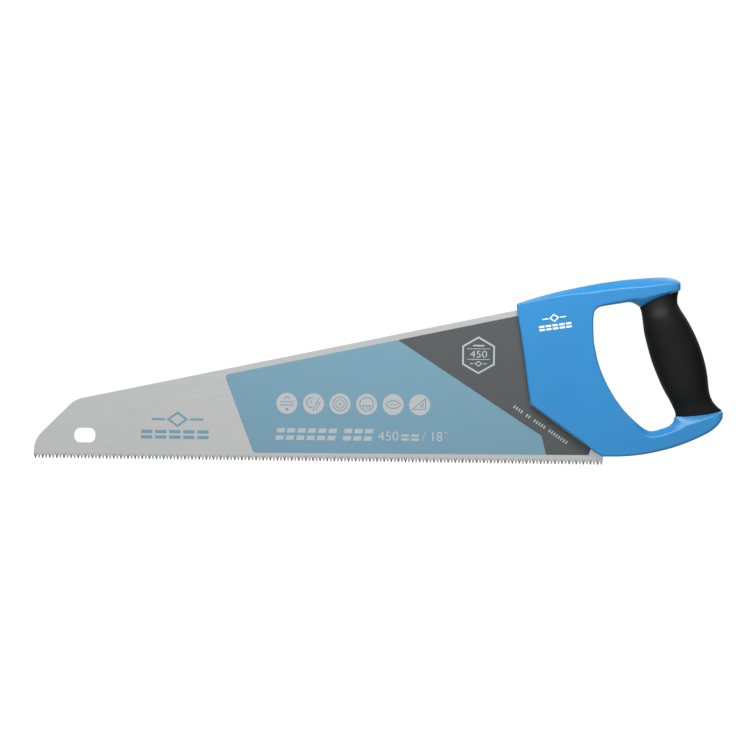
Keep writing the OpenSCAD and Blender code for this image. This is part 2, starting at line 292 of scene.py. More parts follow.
def rubber_material(colours):
    """Black thermoplastic rubber with a satin surface."""
    material, tree, shader = new_material("black_rubber")
    grain = noise(tree, 2200, 3.0)
    bloom = noise(tree, 25, 2.0)
    base = blend_colours(tree, remap(tree, bloom, (0.3, 0.7), (0, 1)),
                         shade(colours.grip, 0.9), shade(colours.grip, 1.25))
    link(tree, base, shader.inputs["Base Color"])
    link(tree, remap(tree, grain, (0.3, 0.7), (0.4, 0.5)), shader.inputs["Roughness"])
    bump(tree, shader, grain, 0.2, 0.00004)
    shader.inputs["IOR"].default_value = 1.5
    shader.inputs["Specular IOR Level"].default_value = 0.14
    return material


def screw_material(colours):
    """Zinc plate, slightly uneven."""
    material, tree, shader = new_material("screw_steel")
    clouds = noise(tree, 900, 3.0)
    base = blend_colours(tree, remap(tree, clouds, (0.3, 0.7), (0, 1)),
                         shade(colours.screw, 0.88), shade(colours.screw, 1.1))
    link(tree, base, shader.inputs["Base Color"])
    link(tree, remap(tree, clouds, (0.3, 0.7), (0.26, 0.4)), shader.inputs["Roughness"])
    shader.inputs["Metallic"].default_value = 1.0
    return material


# ---- Making pieces ----

def add_piece(name, bm, material):
    """Makes a shape, drawn in millimetres, into a piece that rides on the saw."""
    bmesh.ops.scale(bm, vec=(MM, MM, MM), verts=bm.verts)
    mesh = bpy.data.meshes.new(name)
    bm.to_mesh(mesh)
    bm.free()
    mesh.materials.append(material)
    piece = bpy.data.objects.new(name, mesh)
    bpy.context.scene.collection.objects.link(piece)
    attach(piece, "root")
    return piece


def finish_node(name, material):
    """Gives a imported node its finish, and leaves its shape alone."""
    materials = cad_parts[name].data.materials
    materials.clear()
    materials.append(material)


def combine_shape(bm, cutter, operation):
    """Cuts, joins or intersects one closed shape with another, both in millimetres."""
    objects = []
    for shape in (bm, cutter):
        mesh = bpy.data.meshes.new("working_shape")
        shape.to_mesh(mesh)
        shape.free()
        objects.append(bpy.data.objects.new("working_shape", mesh))
        bpy.context.scene.collection.objects.link(objects[-1])
    modifier = objects[0].modifiers.new("combine", "BOOLEAN")
    modifier.operation = operation
    modifier.solver = "EXACT"
    modifier.object = objects[1]
    evaluated = objects[0].evaluated_get(bpy.context.evaluated_depsgraph_get())
    result = bmesh.new()
    result.from_mesh(evaluated.to_mesh())
    evaluated.to_mesh_clear()
    for made in objects:
        mesh = made.data
        bpy.data.objects.remove(made)
        bpy.data.meshes.remove(mesh)
    return result


def sharpen(bm, angle):
    """Smooth shading, apart from the edges where the faces meet at more than the angle."""
    for face in bm.faces:
        face.smooth = True
    for edge in bm.edges:
        edge.smooth = edge.is_manifold and edge.calc_face_angle(0) < angle


def side_point(point, y=0.0):
    """A point of the side view, y out from the blade's middle plane."""
    return Vector((point[0], y, point[1]))


def parabola(points, steps=24):
    a, b, c = (Vector(p) for p in points)
    return [a.lerp(b, i / steps).lerp(b.lerp(c, i / steps), i / steps) for i in range(steps + 1)]


def push_out(bm, faces, vec):
    """Extrudes faces along a vector."""
    pushed = bmesh.ops.extrude_face_region(bm, geom=faces)["geom"]
    bmesh.ops.translate(bm, vec=vec, verts=[v for v in pushed if isinstance(v, bmesh.types.BMVert)])


def extruded(outline, low, high):
    """A closed slab of the outline, given in the side view, from low to high across the saw."""
    bm = bmesh.new()
    face = bm.faces.new([bm.verts.new(side_point(p, low)) for p in outline])
    push_out(bm, [face], (0, high - low, 0))
    bmesh.ops.recalc_face_normals(bm, faces=bm.faces)
    return bm


def rounded_outline(width, depth, radius, steps=6):
    points = []
    for quarter in range(4):
        sx, sy = ((1, 1), (-1, 1), (-1, -1), (1, -1))[quarter]
        centre = Vector((sx * (width / 2 - radius), sy * (depth / 2 - radius)))
        for i in range(steps + 1):
            angle = math.radians(90 * (quarter + i / steps))
            points.append(centre + radius * Vector((math.cos(angle), math.sin(angle))))
    return points


# ---- Printed marks ----

def circle_points(radius, count=40, centre=(0, 0)):
    return arc_points(radius, 0, 360 * (count - 1) / count, count - 1, centre)


def arc_points(radius, start, end, steps, centre=(0, 0)):
    angles = [math.radians(start + (end - start) * i / steps) for i in range(steps + 1)]
    return [Vector(centre) + radius * Vector((math.cos(a), math.sin(a))) for a in angles]


class Pen:
    """Draws flat marks for one side of the saw, each the right way round as that side is seen."""

    def __init__(self, side):
        self.side = side
        self.bm = bmesh.new()
        self.move_to((0, 0))

    def move_to(self, centre, angle=0.0):
        """Starts a mark: its own upright axes, centred here and leaning up towards the rear."""
        self.centre = Vector(centre)
        self.turn = Matrix.Rotation(math.radians(angle), 2)

    def vert(self, point):
        spot = self.centre + self.turn @ Vector((-self.side * point[0], point[1]))
        return self.bm.verts.new(side_point(spot))

    def line(self, points, width, closed=False):
        """A line of even width through the points, mitred at its corners."""
        points = [Vector(p) for p in points]
        rows = ([], [])
        for i, point in enumerate(points):
            before = points[i - 1] if closed or i > 0 else 2 * point - points[1]
            after = points[(i + 1) % len(points)] if closed or i < len(points) - 1 else 2 * point - before
            ahead, behind = (after - point).normalized(), (point - before).normalized()
            across = Vector((-behind.y, behind.x))
            mitre = (across + Vector((-ahead.y, ahead.x))).normalized()
            reach = width / 2 / max(mitre.dot(across), 0.4)
            for row, sign in zip(rows, (1, -1)):
                row.append(self.vert(point + sign * reach * mitre))
        edges = []
        for row in rows:
            pairs = list(zip(row, row[1:])) + ([(row[-1], row[0])] if closed else [])
            edges += [self.bm.edges.new(pair) for pair in pairs]
        bmesh.ops.bridge_loops(self.bm, edges=edges)

    def block(self, centre, width, depth, slant=0.0):
        """A plain block, whose top is pushed along by the slant."""
        x, z = centre
        corners = ((-1, -1), (1, -1), (1, 1), (-1, 1))
        self.bm.faces.new([self.vert((x + sx * width / 2 + sz * slant / 2, z + sz * depth / 2))
                           for sx, sz in corners])

    def dot(self, centre, radius):
        self.bm.faces.new([self.vert(p) for p in circle_points(radius, 20, centre)])

    def number(self, body, centre, width, depth):
        """A number in the plain built-in typeface, fitted to a width and a height."""
        curve = bpy.data.curves.new("number", "FONT")
        curve.body = body
        holder = bpy.data.objects.new("number", curve)
        bpy.context.scene.collection.objects.link(holder)
        evaluated = holder.evaluated_get(bpy.context.evaluated_depsgraph_get())
        mesh = evaluated.to_mesh()
        low = [min(v.co[k] for v in mesh.vertices) for k in (0, 1)]
        high = [max(v.co[k] for v in mesh.vertices) for k in (0, 1)]
        verts = [self.vert((centre[0] + width * ((v.co.x - low[0]) / (high[0] - low[0]) - 0.5),
                            centre[1] + depth * ((v.co.y - low[1]) / (high[1] - low[1]) - 0.5)))
                 for v in mesh.vertices]
        for polygon in mesh.polygons:
            self.bm.faces.new([verts[k] for k in polygon.vertices])
        evaluated.to_mesh_clear()
        bpy.data.objects.remove(holder)
        bpy.data.curves.remove(curve)

    def finish(self, name, surface, material):
        """Lays the drawing on a surface, given as its distance from the middle plane at each X."""
        bm = self.bm
        bmesh.ops.remove_doubles(bm, verts=bm.verts, dist=0.001)
        for v in bm.verts:
            v.co.y = self.side * surface(v.co.x)
        ink = bpy.context.scene.hand_saw_sizes.ink / MM
        push_out(bm, bm.faces[:], (0, self.side * ink, 0))
        bmesh.ops.recalc_face_normals(bm, faces=bm.faces)
        return add_piece(f"{name}_{SIDE_NAMES[self.side]}", bm, material)


def draw_board(pen):
    """A board under the saw: two long lines, with a cap above and a foot below."""
    pen.line([(-5.3, 1.1), (5.3, 1.1)], 0.8)
    pen.line([(-5.3, -1.3), (5.3, -1.3)], 0.8)
    pen.line([(-2.2, 3.6), (0, 5.4), (2.2, 3.6)], 0.8)
    pen.block((0, -4.7), 2.2, 2.0)


def draw_cut_line(pen):
    """A marking knife beside an arc."""
    pen.line([(-0.4, -5.6), (1.0, -2.6), (4.4, 4.6)], 0.8)
    pen.line([(2.1, -5.2), (5.4, 1.6)], 0.8)
    pen.line(arc_points(3.8, 70, 285, 18, (-1.6, 0.8)), 0.8)
    pen.dot((-1.8, 1.2), 0.7)


def draw_log(pen):
    """The rings on the end of a log."""
    pen.line(circle_points(5.5), 0.8, closed=True)
    pen.line(circle_points(3.4, 32), 0.6, closed=True)
    pen.dot((0, 0), 0.9)


def draw_pipe(pen):
    """A pipe's end on its bench."""
    pen.line(circle_points(5.4), 0.8, closed=True)
    pen.line([(-4.4, -1.2), (4.4, -1.2)], 0.8)
    for x in (-2.4, 0, 2.4):
        pen.line([(x, -1.6), (x, -3.8)], 0.8)


def draw_leaf(pen):
    """A leaf, for green timber."""
    upper = arc_points(7.2, 145, 35, 16, (0, -4.1))
    lower = arc_points(7.2, -35, -145, 16, (0, 4.1))
    pen.line(upper[:-1] + lower[:-1], 0.8, closed=True)
    pen.line([(-3.4, 0), (3.4, 0)], 0.6)


def draw_set_square(pen):
    """A set square."""
    pen.line([(-5.8, -3.6), (4.6, -3.6), (4.6, 4.8)], 0.8, closed=True)
    pen.line([(0.4, -1.6), (2.7, -1.6), (2.7, 1.2)], 0.6, closed=True)


PICTOGRAMS = (draw_board, draw_cut_line, draw_log, draw_pipe, draw_leaf, draw_set_square)


def draw_bars(pen, centre, sizes, gap, depth, slit, slant):
    """A row of double bars, one above the other, of the given widths."""
    x = centre[0] - (sum(sizes) + gap * (len(sizes) - 1)) / 2
    bar = (depth - slit) / 2
    for width in sizes:
        for sign in (1, -1):
            rise = sign * (depth - bar) / 2
            lean = slant * rise / depth
            pen.block((x + width / 2 + lean, centre[1] + rise), width, bar, slant * bar / depth)
        x += width + gap


def draw_ticks(pen):
    """Short upright ticks in four groups, along the edge of the main panel."""
    x = -TICKS_LENGTH / 2
    for count in TICK_GROUPS:
        for _ in range(count):
            pen.block((x, 0), 1.1, 2.6)
            x += TICK_PITCH
        x += TICK_PITCH * 1.2


def draw_emblem(pen, centre, half_width, half_depth, width, reach):
    """A plain lozenge with a short bar on either side."""
    x, z = centre
    pen.line([(x + half_width, z), (x, z + half_depth), (x - half_width, z), (x, z - half_depth)],
             width, closed=True)
    for sign in (1, -1):
        pen.line([(x + sign * (half_width + 1.6 * width), z), (x + sign * reach, z)], width)


# ---- Lofted bodies ----
# A rib crosses a limb of the handle from its outer edge to its inner edge, in the side view.
# An edge is (width along the rib, share of the half thickness, fullness): fullness 0 is a flat
# bevel and 1 a quarter round. The last value is the thickness factor.

def rib(outer, inner, outer_edge, inner_edge, thick=1.0):
    return Vector((*outer, *inner, *outer_edge, *inner_edge, thick))


def crown(width):
    return width, 0.9, 0.2


FRONT_ROUND = (1.6, 0.25, 1)
HOLE_ROUND = (1.6, 0.24, 1)
BASE_ROUND = (2.2, 0.2, 1)


def on_front(share):
    return FRONT_TOP.lerp(FRONT_MID, share)


def on_chin(share):
    return FRONT_MID.lerp(FRONT_LOW, share)


HANDLE_RIBS = [
    # Upper horn, from its rounded rear end forwards
    rib((237.0, 144.2), (237.0, 138.9), (1.2, 0.6, 1), (1.0, 0.4, 1), 0.5),
    rib((236.5, 145.6), (236.4, 138.5), (2.4, 0.7, 0.8), (1.0, 0.35, 0.9), 0.72),
    rib((234.2, 147.1), (234.0, 137.8), (3.6, 0.8, 0.5), (1.1, 0.3, 0.7), 0.88),
    rib((230.0, 148.4), (230.0, 136.6), (4.6, 0.88, 0.3), (1.4, 0.28, 0.5), 0.96),
    rib((224.0, 148.9), (224.0, 134.3), crown(5.5), (2.2, 0.28, 0.4)),
    rib((215.0, 148.5), (214.5, 129.9), crown(6.4), (4.4, 0.35, 0.35)),
    rib((208.5, 148.0), (206.8, 124.7), crown(6.9), (7.7, 0.7, 0.35)),
    rib((203.0, 147.5), (202.0, 127.4), crown(7.0), (4.8, 0.55, 0.4)),
    rib((197.7, 147.0), (197.9, 128.8), crown(6.8), (2.9, 0.4, 0.7)),
    rib((189.8, 146.1), (190.0, 127.8), crown(6.6), (2.6, 0.35, 1)),
    rib((181.0, 144.8), (181.5, 126.4), crown(6.5), (2.3, 0.3, 1)),
    rib((171.0, 143.1), (174.3, 125.0), crown(6.3), (1.8, 0.26, 1)),
    rib((158.2, 140.5), (170.2, 122.4), crown(6.0), HOLE_ROUND),
    rib((142.5, 137.0), (168.8, 118.6), crown(5.4), HOLE_ROUND),
    rib((126.5, 132.6), (168.5, 113.5), crown(4.4), HOLE_ROUND),
    rib((112.9, 128.3), (168.5, 108.0), (2.6, 0.8, 0.4), HOLE_ROUND),
    # Front panel: the front edge, the chin and the three corners
    rib((109.3, 126.9), (168.7, 104.4), (2.0, 0.6, 0.7), HOLE_ROUND),
    rib((108.1, 125.8), (168.8, 102.4), (1.8, 0.4, 0.9), HOLE_ROUND),
    rib(on_front(0.028), (168.9, 100.4), FRONT_ROUND, HOLE_ROUND),
    rib(on_front(0.3), (170.2, 91.8), FRONT_ROUND, HOLE_ROUND),
    rib(on_front(0.64), (174.2, 76.5), FRONT_ROUND, HOLE_ROUND),
    rib(on_front(0.977), (184.6, 55.5), FRONT_ROUND, HOLE_ROUND),
    rib((120.0, 47.2), (186.3, 52.8), FRONT_ROUND, HOLE_ROUND),
    rib(on_chin(0.03), (187.7, 50.9), FRONT_ROUND, HOLE_ROUND),
    rib(on_chin(0.35), (191.7, 45.6), FRONT_ROUND, HOLE_ROUND),
    rib(on_chin(0.68), (196.3, 40.5), FRONT_ROUND, HOLE_ROUND),
    rib(on_chin(0.973), (201.5, 35.6), FRONT_ROUND, (2.0, 0.26, 1)),
    rib((177.2, 6.7), (203.2, 34.1), (2.0, 0.24, 1), (2.2, 0.3, 1)),
    rib((179.8, 6.7), (204.8, 32.8), BASE_ROUND, (2.6, 0.34, 0.7)),
    # Lower horn, ending in its rounded nose
    rib((191.5, 6.9), (208.4, 30.1), BASE_ROUND, (3.6, 0.4, 0.4)),
    rib((201.5, 7.7), (211.4, 28.2), BASE_ROUND, (4.4, 0.45, 0.2)),
    rib((211.0, 9.1), (215.2, 27.3), BASE_ROUND, (4.8, 0.5, 0.15)),
    rib((221.5, 11.4), (219.6, 27.9), BASE_ROUND, (4.9, 0.5, 0.15)),
    rib((231.5, 14.1), (225.0, 29.6), BASE_ROUND, (5.1, 0.5, 0.15)),
    rib((240.0, 17.1), (229.8, 31.6), BASE_ROUND, (5.4, 0.48, 0.15)),
    rib((247.5, 20.2), (233.2, 35.0), BASE_ROUND, (7.6, 0.44, 0.15)),
    rib((253.5, 23.0), (234.6, 39.2), BASE_ROUND, (11.4, 0.4, 0.15)),
    rib((258.5, 25.6), (243.0, 39.7), BASE_ROUND, (8.4, 0.38, 0.15)),
    rib((262.8, 28.3), (251.0, 40.4), BASE_ROUND, (5.6, 0.38, 0.2)),
    rib((266.6, 31.6), (258.0, 41.5), (2.2, 0.24, 1), (4.0, 0.38, 0.3), 0.98),
    rib((269.6, 35.2), (264.4, 42.7), (2.0, 0.3, 1), (2.9, 0.4, 0.4), 0.9),
    rib((271.4, 38.9), (268.6, 43.7), (1.6, 0.36, 1), (2.1, 0.44, 0.6), 0.74),
    rib((NOSE_X, 41.4), (270.7, 44.2), (0.9, 0.5, 1), (1.2, 0.5, 0.8), 0.52),
]


def grip_rib(rear, finger, half):
    """A rib of the grip is an oval from the palm side to the finger side."""
    return Vector((*rear, *finger, half))


GRIP_RIBS = [
    grip_rib((237.4, 144.5), (202.6, 130.0), 9.6),
    grip_rib((236.3, 139.2), (204.4, 126.0), 9.5),
    grip_rib((235.1, 133.6), (206.0, 122.8), 9.9),
    grip_rib((235.1, 129.2), (206.9, 119.0), 10.8),
    grip_rib((237.3, 124.2), (207.8, 112.6), 13.0),
    grip_rib((241.9, 117.3), (208.9, 105.0), 14.2),
    grip_rib((246.9, 108.6), (210.8, 97.2), 14.45),
    grip_rib((251.4, 99.2), (213.0, 89.3), 14.62),
    grip_rib((255.0, 89.8), (215.5, 81.4), 14.78),
    grip_rib((257.8, 80.0), (218.6, 73.6), 14.9),
    grip_rib((259.6, 70.6), (222.0, 65.7), 14.9),
    grip_rib((260.6, 61.6), (226.0, 57.8), 14.2),
    grip_rib((262.0, 55.4), (229.4, 52.1), 12.6),
    grip_rib((264.7, 50.3), (232.2, 46.6), 10.2),
    grip_rib((268.1, 46.8), (234.3, 41.7), 9.2),
    grip_rib((270.6, 44.7), (234.6, 37.5), 8.8),
    grip_rib((271.6, 42.8), (235.0, 33.0), 8.8),
]


def rib_gap(first, second):
    """The distance between two ribs, by their outer and inner points."""
    return Vector((second - first)[:4]).length


def rib_tangents(ribs):
    """How each rib's values change along the limb, weighted towards its nearer neighbour."""
    gaps = [rib_gap(a, b) for a, b in zip(ribs, ribs[1:])]
    slopes = [(b - a) / gap for a, b, gap in zip(ribs, ribs[1:], gaps)]
    inner = [(slopes[k] * gaps[k + 1] + slopes[k + 1] * gaps[k]) / (gaps[k] + gaps[k + 1])
             for k in range(len(gaps) - 1)]
    return [slopes[0]] + inner + [slopes[-1]]


def fine_ribs(ribs, steps):
    """The ribs with more between them, on smooth cubics."""
    tangents = rib_tangents(ribs)
    fine = []
    for k in range(len(ribs) - 1):
        gap = rib_gap(ribs[k], ribs[k + 1])
        for i in range(steps):
            s = i / steps
            fine.append(ribs[k] * (2 * s**3 - 3 * s**2 + 1) + ribs[k + 1] * (3 * s**2 - 2 * s**3)
                        + tangents[k] * gap * (s**3 - 2 * s**2 + s)
                        + tangents[k + 1] * gap * (s**3 - s**2))
    return fine + [ribs[-1].copy()]


def edge_marks(edge, steps):
    """Points of an edge, from its rim to its crease: (distance in, share of the half thickness)."""
    width, share, fullness = edge
    marks = []
    for i in range(steps + 1):
        angle = math.pi / 2 * i / steps
        inwards = fullness * (1 - math.cos(angle)) + (1 - fullness) * i / steps
        outwards = fullness * math.sin(angle) + (1 - fullness) * i / steps
        marks.append((width * inwards, 1 - share + share * outwards))
    return marks


def bend(before, corner, after, reach, steps=4):
    """Points that round a corner, starting and ending at most reach away from it."""
    start = corner + (before - corner).normalized() * min(reach, (before - corner).length * 0.8)
    end = corner + (after - corner).normalized() * min(reach, (after - corner).length * 0.45)
    return [start.lerp(corner, i / steps).lerp(corner.lerp(end, i / steps), i / steps)
            for i in range(steps + 1)]


def rib_side(values, half_at, crease):
    """The left half of the loop round a rib, from the outer rim to the inner rim."""
    outer, inner = Vector(values[0:2]), Vector(values[2:4])
    along = (inner - outer).normalized()

    def place(start, direction, mark):
        spot = start + direction * mark[0]
        return side_point(spot, -mark[1] * half_at(spot.x) * values[10])

    rims = []
    for start, direction, edge in ((outer, along, values[4:7]), (inner, -along, values[7:10])):
        marks = [place(start, direction, m) for m in edge_marks(edge, 7)]
        rims.append(marks)
    half = []
    for own, other in ((rims[0], rims[1]), (rims[1], rims[0])):
        middle = Vector((own[0].x, 0, own[0].z))
        rim = bend(middle, own[0], own[1], crease, 3)
        support = own[-1].lerp(other[-1], min(0.3, 3 * crease / (own[-1] - other[-1]).length))
        half.append(rim + own[1:-1] + bend(own[-2], own[-1], other[-1], crease) + [support])
    return half[0] + half[1][::-1]


def rib_loop(values, half_at, crease):
    side = rib_side(values, half_at, crease)
    return side + [Vector((p.x, -p.y, p.z)) for p in reversed(side)]


def oval_loop(values, count=72):
    """The loop round a rib of the grip."""
    rear, finger, half = Vector(values[0:2]), Vector(values[2:4]), values[4]
    middle, reach = (rear + finger) / 2, (rear - finger) / 2
    angles = [2 * math.pi * i / count for i in range(count)]
    return [side_point(middle + reach * math.cos(a), half * math.sin(a)) for a in angles]


def add_ring(bm, points):
    verts = [bm.verts.new(p) for p in points]
    return [bm.edges.new(pair) for pair in zip(verts, verts[1:] + verts[:1])]


def loft(loops):
    """A closed skin over a row of loops."""
    bm = bmesh.new()
    rings = [add_ring(bm, loop) for loop in loops]
    for first, second in zip(rings, rings[1:]):
        bmesh.ops.bridge_loops(bm, edges=first + second)
    for ring in (rings[0], rings[-1]):
        bmesh.ops.edgeloop_fill(bm, edges=ring)
    bmesh.ops.recalc_face_normals(bm, faces=bm.faces)
    return bm


def grip_zone(gap=0.0):
    """The space between the two seams, less a gap at each."""
    upper = [p - Vector((0, gap)) for p in parabola(UPPER_SEAM)]
    lower = [p + Vector((0, gap)) for p in parabola(LOWER_SEAM)]
    outline = [(196, 118)] + upper + [(300, 140), (300, 44.8)] + lower[::-1] + [(215, 39.5), (196, 60)]
    return extruded(outline, -30, 30)


def core_bar():
    """The bar that joins the horns inside the grip."""
    width, depth = CORE_SIZE
    run = side_point(CORE_LOW) - side_point(CORE_TOP)
    turn = Vector((0, 0, 1)).rotation_difference(run)
    bm = bmesh.new()
    outline = rounded_outline(depth, width, CORE_ROUND)
    face = bm.faces.new([bm.verts.new((p.x, p.y, 0)) for p in outline])
    push_out(bm, [face], (0, 0, run.length))
    bmesh.ops.recalc_face_normals(bm, faces=bm.faces)
    bmesh.ops.rotate(bm, matrix=Matrix.Rotation(math.radians(90), 3, "Z"), verts=bm.verts)
    bmesh.ops.rotate(bm, matrix=turn.to_matrix(), verts=bm.verts)
    bmesh.ops.translate(bm, vec=side_point(CORE_TOP), verts=bm.verts)
    return bm


def bore(spot, radius, low, high):
    """A round cutter across the saw, from low to high."""
    return extruded([Vector(spot) + p for p in circle_points(radius, 64)], low, high)


def flank_half(x):
    """Half thickness of the handle, whose flanks are flat and widen towards the rear."""
    sizes = bpy.context.scene.hand_saw_sizes
    front, rear = sizes.front_half / MM, sizes.rear_half / MM
    return front + (rear - front) * (x - FRONT_TOP.x) / (NOSE_X - FRONT_TOP.x)


class HANDSAW_OT_blade(bpy.types.Operator):
    """Give the blade its brushed, lacquered and hardened steel"""

    bl_idname = "hand_saw.blade"
    bl_label = "Finish Blade"

    def execute(self, context):
        finish_node("saw_blade", steel_material(context.scene.hand_saw_colours))
        return {"FINISHED"}


class HANDSAW_OT_handle(bpy.types.Operator):
    """Model the blue handle: front panel, two horns and the core bar"""

    bl_idname = "hand_saw.handle"
    bl_label = "Model Handle"

    def execute(self, context):
        sizes = context.scene.hand_saw_sizes
        ribs = fine_ribs(HANDLE_RIBS, RIB_STEPS)
        bm = loft([rib_loop(r, flank_half, sizes.crease / MM) for r in ribs])
        bm = combine_shape(bm, grip_zone(), "DIFFERENCE")
        bm = combine_shape(bm, core_bar(), "UNION")
        bm = combine_shape(bm, extruded(TANG, -BLADE_HALF, BLADE_HALF), "DIFFERENCE")
        well_mouth = sizes.rear_half / MM + WELL_CLEARANCE
        for spot in SCREW_SPOTS:
            bm = combine_shape(bm, bore(spot, WELL_RADIUS, WELL_SEAT, well_mouth), "DIFFERENCE")
            bm = combine_shape(bm, bore(spot, SHANK_RADIUS, SHANK_END, WELL_SEAT + 1), "DIFFERENCE")
        sharpen(bm, SHARP_ANGLE)
        material = plastic_material(context.scene.hand_saw_colours)
        handle = add_piece("handle_body", bm, material)
        even = handle.modifiers.new("even_shading", "WEIGHTED_NORMAL")
        even.keep_sharp = True
        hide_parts("handle")
        return {"FINISHED"}


class HANDSAW_OT_grip(bpy.types.Operator):
    """Model the black rubber grip round the core bar"""

    bl_idname = "hand_saw.grip"
    bl_label = "Model Grip"

    def execute(self, context):
        sizes = context.scene.hand_saw_sizes
        ribs = fine_ribs(GRIP_RIBS, RIB_STEPS)
        bm = loft([oval_loop(r) for r in ribs])
        bm = combine_shape(bm, grip_zone(sizes.seam_gap / MM), "INTERSECT")
        bm = combine_shape(bm, core_bar(), "DIFFERENCE")
        sharpen(bm, SHARP_ANGLE)
        grip = add_piece("grip", bm, rubber_material(context.scene.hand_saw_colours))
        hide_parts("grip_sleeve")
        return {"FINISHED"}


class HANDSAW_OT_screws(bpy.types.Operator):
    """Give the three handle screws their zinc plate"""

    bl_idname = "hand_saw.screws"
    bl_label = "Finish Screws"

    def execute(self, context):
        material = screw_material(context.scene.hand_saw_colours)
        for name in ("screw_upper", "screw_middle", "screw_lower"):
            finish_node(name, material)
        return {"FINISHED"}


class HANDSAW_OT_print(bpy.types.Operator):
    """Finish the printed panels and print the marks on both sides"""

    bl_idname = "hand_saw.print"
    bl_label = "Print Marks"

    def execute(self, context):
        colours = context.scene.hand_saw_colours
        blue = ink_material("blue_ink", colours.blue_ink)
        grey = ink_material("grey_ink", colours.grey_ink)
        pale = ink_material("pale_ink", colours.pale_ink)
        white = ink_material("white_ink", colours.white_ink)
        for side in (LEFT, RIGHT):
            for name, material in (("print_blue_", blue), ("print_grey_", grey)):
                finish_node(name + SIDE_NAMES[side], material)
            self.print_steel(side, blue)
            self.print_panels(side, pale)
            self.print_handle(side, white)
        return {"FINISHED"}

    def print_steel(self, side, material):
        """The pictograms in the windows and the mark at the toe, on bare steel."""
        pen = Pen(side)
        for i in range(WINDOW_COUNT):
            pen.move_to(WINDOW_FIRST + Vector((i * WINDOW_PITCH, 0)))
            PICTOGRAMS[i if side == LEFT else WINDOW_COUNT - 1 - i](pen)
        pen.move_to((-161, 26))
        draw_bars(pen, (0, -6), (9, 9, 9, 9, 9), 2.1, 7, 1.7, 0)
        draw_emblem(pen, (2, 6), 7.2, 5.2, 1.7, 20.5)
        pen.finish("steel_marks", lambda x: BLADE_HALF, material)

    def print_panels(self, side, material):
        """The bars, sizes and badge on the printed panels."""
        pen = Pen(side)
        pen.move_to((-42.8, 21.5))
        draw_bars(pen, (-14.4, 0), (6.3,) * 6, 1.9, 9.4, 2.2, 1.6)
        draw_bars(pen, (26.6, 0), (6.3,) * 3, 1.95, 9.4, 2.2, 1.6)
        pen.move_to((26.5, 20.8))
        pen.number("450", (-18.8, 0), 16.2, 7.4)
        draw_bars(pen, (-1.6, -1.0), (6.2, 6.2), 1.6, 5.2, 1.2, 0)
        pen.line([(7.7, -4), (10.8, 4)], 0.6)
        pen.number("18", (20, 0), 8, 7.4)
        for x in (26.2, 27.7):
            pen.line([(x, 2.2), (x, 4)], 0.6)
        pen.move_to(TICKS_MIDDLE, TICKS_LEAN)
        draw_ticks(pen)
        pen.move_to((78.3, 85.5))
        pen.line([14.1 * Vector((math.sin(a), math.cos(a))) for a in
                  (math.radians(60 * k) for k in range(6))], 1.4, closed=True)
        pen.line([(-9, 5.1), (9, 5.1)], 0.5)
        pen.line([(-9, -3.3), (9, -3.3)], 0.5)
        pen.number("450", (0, 0.9), 13.5, 5.4)
        pen.block((0, 7.6), 8.9, 1.2)
        draw_emblem(pen, (0, -6.7), 2.6, 1.9, 0.7, 6.6)
        pen.finish("panel_marks", lambda x: INK_FACE, material)

    def print_handle(self, side, material):
        """The mark on the handle, in line with its upper edge."""
        pen = Pen(side)
        # On the right it keeps clear of the upper screw's well
        pen.move_to((138, 112.2) if side == LEFT else (149, 113.8), 8.3)
        draw_bars(pen, (0, -3.5), (4.3, 4.3, 4.3, 4.3, 4.3), 1.05, 4.2, 1.0, 0)
        draw_emblem(pen, (0, 3.5), 3.3, 2.7, 0.95, 9.4)
        pen.finish("handle_mark", flank_half, material)


